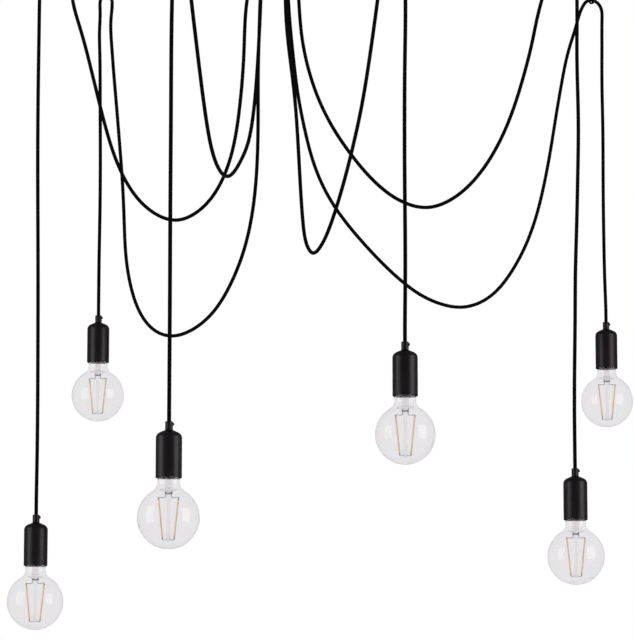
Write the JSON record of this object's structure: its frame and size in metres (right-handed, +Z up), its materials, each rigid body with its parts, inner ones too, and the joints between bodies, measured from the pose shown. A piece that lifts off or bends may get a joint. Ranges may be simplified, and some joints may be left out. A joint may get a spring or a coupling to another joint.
{
  "type": "cluster pendant light",
  "caption": "Cluster pendant light: cords from one small round canopy sag in swags to ceiling hooks and drop to clear globe bulbs in black metal lampholders.",
  "frame": {"origin": "centre of the canopy bracket's upper face, on the ceiling plane, on the axis of the canopy", "axes": "+Z up into the ceiling, +X along the bracket and to the right in the picture, -Y towards the viewer"},
  "size_m": [1.1057, 1.032, 1.2271],
  "materials": {
    "cord_textile": "matte braided textile over the cord",
    "black_paint": "satin black",
    "socket_thermoset": "semi-matt thermoset",
    "anchor_plastic": "semi-matt",
    "bracket_steel": "bright zinc",
    "cap_metal": "bright",
    "clear_glass": "clear, gloss",
    "filament_mount": "clear stem with warm coated filaments",
    "terminal_nylon": "semi-matt white"
  },
  "bodies": {
    "ceiling_set": {"canopy_cover": "black_paint", "cord_anchor_plate": "anchor_plastic", "ceiling_bracket": "bracket_steel", "terminal_block": "terminal_nylon", "cover_screw_1": "black_paint", "cover_screw_2": "black_paint", "ceiling_hook_1": "black_paint", "ceiling_hook_2": "black_paint", "ceiling_hook_3": "black_paint", "ceiling_hook_4": "black_paint", "ceiling_hook_5": "black_paint", "ceiling_hook_6": "black_paint", "swag_cord_1": "cord_textile", "swag_cord_2": "cord_textile", "swag_cord_3": "cord_textile", "swag_cord_4": "cord_textile", "swag_cord_5": "cord_textile", "swag_cord_6": "cord_textile"},
    "pendant_1": {"drop_cord_1": "cord_textile", "cord_grip_1": "black_paint", "cup_1": "black_paint", "socket_1": "socket_thermoset"},
    "bulb_1": {"bulb_cap_1": "cap_metal", "bulb_glass_1": "clear_glass", "filament_mount_1": "filament_mount"},
    "pendant_2": {"drop_cord_2": "cord_textile", "cord_grip_2": "black_paint", "cup_2": "black_paint", "socket_2": "socket_thermoset"},
    "bulb_2": {"bulb_cap_2": "cap_metal", "bulb_glass_2": "clear_glass", "filament_mount_2": "filament_mount"},
    "pendant_3": {"drop_cord_3": "cord_textile", "cord_grip_3": "black_paint", "cup_3": "black_paint", "socket_3": "socket_thermoset"},
    "bulb_3": {"bulb_cap_3": "cap_metal", "bulb_glass_3": "clear_glass", "filament_mount_3": "filament_mount"},
    "pendant_4": {"drop_cord_4": "cord_textile", "cord_grip_4": "black_paint", "cup_4": "black_paint", "socket_4": "socket_thermoset"},
    "bulb_4": {"bulb_cap_4": "cap_metal", "bulb_glass_4": "clear_glass", "filament_mount_4": "filament_mount"},
    "pendant_5": {"drop_cord_5": "cord_textile", "cord_grip_5": "black_paint", "cup_5": "black_paint", "socket_5": "socket_thermoset"},
    "bulb_5": {"bulb_cap_5": "cap_metal", "bulb_glass_5": "clear_glass", "filament_mount_5": "filament_mount"},
    "pendant_6": {"drop_cord_6": "cord_textile", "cord_grip_6": "black_paint", "cup_6": "black_paint", "socket_6": "socket_thermoset"},
    "bulb_6": {"bulb_cap_6": "cap_metal", "bulb_glass_6": "clear_glass", "filament_mount_6": "filament_mount"}
  },
  "joints": [
    {"name": "swing_1", "type": "hinge", "parent": "ceiling_set", "child": "pendant_1", "pos_m": [-0.3846, -0.01604, -0.0255], "axis": [-0.9989, -0.0462, 0], "range_deg": [-12, 12]},
    {"name": "bulb_turn_1", "type": "hinge", "parent": "pendant_1", "child": "bulb_1", "pos_m": [-0.40308, -0.01689, -1.1185], "axis": [0, 0, 1], "range_deg": [-1080, 0]},
    {"name": "swing_2", "type": "hinge", "parent": "ceiling_set", "child": "pendant_2", "pos_m": [-0.31783, 0.32042, -0.0255], "axis": [-0.7206, 0.6933, 0], "range_deg": [-12, 12]},
    {"name": "bulb_turn_2", "type": "hinge", "parent": "pendant_2", "child": "bulb_2", "pos_m": [-0.32605, 0.32833, -0.71705], "axis": [0, 0, 1], "range_deg": [-1080, 0]},
    {"name": "swing_3", "type": "hinge", "parent": "ceiling_set", "child": "pendant_3", "pos_m": [-0.14583, -0.53517, -0.0255], "axis": [-0.2448, -0.9696, 0], "range_deg": [-12, 12]},
    {"name": "bulb_turn_3", "type": "hinge", "parent": "pendant_3", "child": "bulb_3", "pos_m": [-0.15146, -0.55747, -1.03016], "axis": [0, 0, 1], "range_deg": [-1080, 0]},
    {"name": "swing_4", "type": "hinge", "parent": "ceiling_set", "child": "pendant_4", "pos_m": [0.20564, -0.39658, -0.0255], "axis": [0.4566, -0.8897, 0], "range_deg": [-12, 12]},
    {"name": "bulb_turn_4", "type": "hinge", "parent": "pendant_4", "child": "bulb_4", "pos_m": [0.21294, -0.41081, -0.88382], "axis": [0, 0, 1], "range_deg": [-1080, 0]},
    {"name": "swing_5", "type": "hinge", "parent": "ceiling_set", "child": "pendant_5", "pos_m": [0.4956, -0.09437, -0.0255], "axis": [0.9794, -0.202, 0], "range_deg": [-12, 12]},
    {"name": "bulb_turn_5", "type": "hinge", "parent": "pendant_5", "child": "bulb_5", "pos_m": [0.50637, -0.0966, -1.04843], "axis": [0, 0, 1], "range_deg": [-1080, 0]},
    {"name": "swing_6", "type": "hinge", "parent": "ceiling_set", "child": "pendant_6", "pos_m": [0.58896, 0.36871, -0.0255], "axis": [0.8616, 0.5076, 0], "range_deg": [-12, 12]},
    {"name": "bulb_turn_6", "type": "hinge", "parent": "pendant_6", "child": "bulb_6", "pos_m": [0.60799, 0.37991, -0.72077], "axis": [0, 0, 1], "range_deg": [-1080, 0]}
  ]
}
